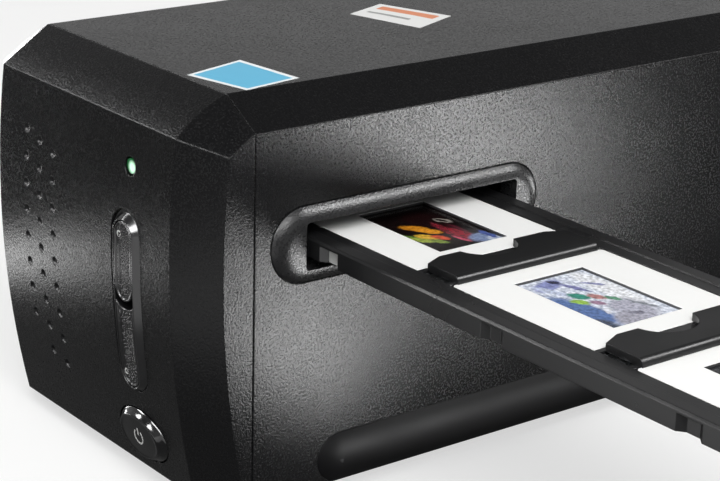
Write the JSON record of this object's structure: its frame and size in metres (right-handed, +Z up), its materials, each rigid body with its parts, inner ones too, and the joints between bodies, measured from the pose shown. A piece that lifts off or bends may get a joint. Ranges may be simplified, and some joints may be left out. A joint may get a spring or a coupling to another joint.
{
  "type": "film negative scanner",
  "caption": "Desktop film scanner: a bowed, bevelled black housing with a long carrier of mounted slides running through a slot in each side, a pair of keys and an oval power button.",
  "frame": {"origin": "on the desk under the middle of the housing", "axes": "+Z up; the keys face -Y; the slide carrier stands out of the slot on the +X side"},
  "size_m": [0.3645, 0.2731, 0.119],
  "materials": {
    "shell_black": "spark-eroded black ABS",
    "gloss_black": "polished black ABS",
    "rim_black": "fine-grained black ABS",
    "carrier_black": "satin black ABS",
    "inner_black": "dull dark grey ABS",
    "rubber_black": "plain rubber",
    "steel": "ground steel",
    "bronze": "sintered bronze",
    "white_plastic": "smooth white polystyrene",
    "film": "processed colour film",
    "light_lens": "clear green acrylic",
    "circuit_board": "green solder mask on glass epoxy",
    "chip_black": "moulded epoxy",
    "nylon": "natural acetal",
    "diffuser_white": "opal acrylic",
    "lamp_white": "white solder mask",
    "mirror": "front-silvered glass",
    "lens_glass": "coated optical glass"
  },
  "bodies": {
    "housing": {"main_cover": "shell_black", "front_shell": "shell_black", "rear_panel": "shell_black", "base_tray": "inner_black", "rubber_feet": "rubber_black", "base_screws": "steel", "slot_rim_right": "rim_black", "slot_rim_left": "rim_black", "side_pod_right": "gloss_black", "side_pod_left": "gloss_black", "key_bezel": "gloss_black", "pilot_light": "light_lens", "button_board": "circuit_board", "tact_switches": "chip_black", "chassis": "inner_black", "film_gate": "inner_black", "detent_spring": "steel", "guide_rods": "steel", "motor_plate": "steel", "stepper_motor": "steel", "main_board": "circuit_board", "board_chips": "chip_black", "usb_socket": "steel", "power_inlet": "chip_black", "home_sensor": "chip_black", "flap_pins": "steel"},
    "carrier": {"carrier_frame": "carrier_black", "slide_retainers": "carrier_black", "retainer_springs": "steel", "slide_mounts": "white_plastic", "film_chips": "film"},
    "carriage": {"optical_tray": "inner_black", "carriage_bushes": "bronze", "lamp_arm": "inner_black", "lamp_board": "lamp_white", "diffuser": "diffuser_white", "fold_mirror": "mirror", "lens_barrel": "inner_black", "lens_glasses": "lens_glass", "sensor_board": "circuit_board", "line_sensor": "chip_black", "drive_nut": "nylon"},
    "power_button": {"power_button": "gloss_black"},
    "upper_key": {"upper_key": "gloss_black"},
    "lower_key": {"lower_key": "gloss_black"},
    "flap_right": {"dust_flap_right": "inner_black"},
    "flap_left": {"dust_flap_left": "inner_black"},
    "screw": {"lead_screw": "steel", "screw_gear": "nylon"},
    "motor_rotor": {"motor_shaft": "steel", "motor_pinion": "bronze"}
  },
  "joints": [
    {"name": "carrier_slide", "type": "slide", "parent": "housing", "child": "carrier", "axis": [1, 0, 0], "range_m": [-0.26545, 0.025]},
    {"name": "carriage_scan", "type": "slide", "parent": "housing", "child": "carriage", "axis": [0, -1, 0], "range_m": [0, 0.0254]},
    {"name": "power_button_push", "type": "slide", "parent": "housing", "child": "power_button", "axis": [0, 0.9813, 0.1924], "range_m": [0, 0.0012], "stiffness_N_per_m": 1200, "springref_m": -0.0012},
    {"name": "upper_key_push", "type": "slide", "parent": "housing", "child": "upper_key", "axis": [0, 1, 0], "range_m": [0, 0.0008], "stiffness_N_per_m": 1500, "springref_m": -0.0008},
    {"name": "lower_key_push", "type": "slide", "parent": "housing", "child": "lower_key", "axis": [0, 1, 0], "range_m": [0, 0.0008], "stiffness_N_per_m": 1500, "springref_m": -0.0008},
    {"name": "flap_right_swing", "type": "hinge", "parent": "housing", "child": "flap_right", "pos_m": [0.0525, -0.0665, 0.0876], "axis": [0, -1, 0], "range_deg": [-8, 0]},
    {"name": "flap_left_swing", "type": "hinge", "parent": "housing", "child": "flap_left", "pos_m": [-0.0525, -0.0665, 0.0876], "axis": [0, 1, 0], "range_deg": [-8, 78]},
    {"name": "screw_spin", "type": "hinge", "parent": "housing", "child": "screw", "pos_m": [0, 0.0682, 0.024], "axis": [0, 1, 0], "range_deg": [-2, 1145]},
    {"name": "pinion_spin", "type": "hinge", "parent": "housing", "child": "motor_rotor", "pos_m": [0.00843, 0.0682, 0.0386], "axis": [0, 1, 0], "range_deg": [-2860, 5]}
  ],
  "couplings": [
    {"joint": "screw_spin", "follows": "carriage_scan", "rad_per_m": 785.4},
    {"joint": "pinion_spin", "follows": "carriage_scan", "rad_per_m": -1963.5}
  ]
}
